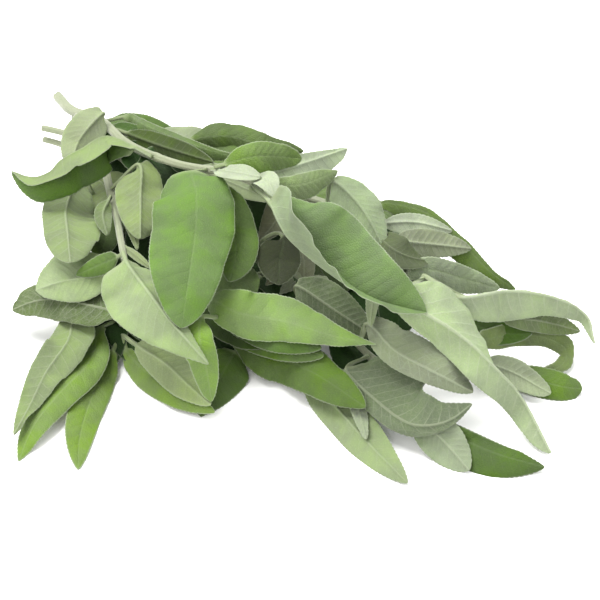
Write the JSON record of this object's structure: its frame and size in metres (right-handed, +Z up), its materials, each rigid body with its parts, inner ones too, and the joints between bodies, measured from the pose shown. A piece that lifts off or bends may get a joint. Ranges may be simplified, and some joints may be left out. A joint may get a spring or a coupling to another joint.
{
  "type": "sage bunch",
  "caption": "Cut bunch of fresh garden sage lying on a table: slender stems meet at the cut ends and long oval leaves fan over the top and front, some showing pale undersides.",
  "frame": {"origin": "centre of the bunch's footprint, on the surface that it lies on", "axes": "+X runs along the bunch from the cut stem ends to the leaf tips, +Z is up"},
  "size_m": [0.2858, 0.208, 0.0729],
  "materials": {
    "leaf_upper": "soft green upper side of a fresh leaf, finely wrinkled, with a low velvety sheen",
    "leaf_underside": "pale grey-green felted underside with raised veins",
    "stem_green": "pale green stem with fine hairs"
  },
  "bodies": {
    "root": {"back_leaf_1": "leaf_upper", "back_leaf_2": "leaf_upper", "back_leaf_3": "leaf_underside", "back_leaf_4": "leaf_upper", "back_leaf_5": "leaf_upper", "crown_leaf_1": "leaf_upper", "crown_leaf_2": "leaf_upper", "crown_leaf_3": "leaf_upper", "crown_leaf_4": "leaf_upper", "crown_stem": "stem_green", "curled_leaf": "leaf_upper", "front_leaf_1": "leaf_upper", "front_leaf_10": "leaf_underside", "front_leaf_11": "leaf_underside", "front_leaf_12": "leaf_upper", "front_leaf_13": "leaf_upper", "front_leaf_2": "leaf_underside", "front_leaf_3": "leaf_upper", "front_leaf_4": "leaf_underside", "front_leaf_5": "leaf_underside", "front_leaf_6": "leaf_underside", "front_leaf_7": "leaf_upper", "front_leaf_8": "leaf_upper", "front_leaf_9": "leaf_upper", "front_stem": "stem_green", "inner_leaf": "leaf_upper", "left_leaf_1": "leaf_upper", "left_leaf_10": "leaf_upper", "left_leaf_11": "leaf_underside", "left_leaf_12": "leaf_underside", "left_leaf_13": "leaf_underside", "left_leaf_14": "leaf_upper", "left_leaf_2": "leaf_upper", "left_leaf_3": "leaf_upper", "left_leaf_4": "leaf_underside", "left_leaf_5": "leaf_underside", "left_leaf_6": "leaf_underside", "left_leaf_7": "leaf_underside", "left_leaf_8": "leaf_underside", "left_leaf_9": "leaf_underside", "left_stem": "stem_green", "low_stem": "stem_green", "right_leaf_1": "leaf_upper", "right_leaf_10": "leaf_upper", "right_leaf_2": "leaf_underside", "right_leaf_3": "leaf_underside", "right_leaf_4": "leaf_upper", "right_leaf_5": "leaf_underside", "right_leaf_6": "leaf_underside", "right_leaf_7": "leaf_underside", "right_leaf_8": "leaf_underside", "right_leaf_9": "leaf_underside", "right_stem": "stem_green", "side_stem": "stem_green", "top_leaf_1": "leaf_upper", "top_leaf_2": "leaf_upper", "top_leaf_3": "leaf_underside", "top_leaf_4": "leaf_underside", "top_leaf_5": "leaf_upper", "top_leaf_6": "leaf_upper"}
  },
  "joints": []
}
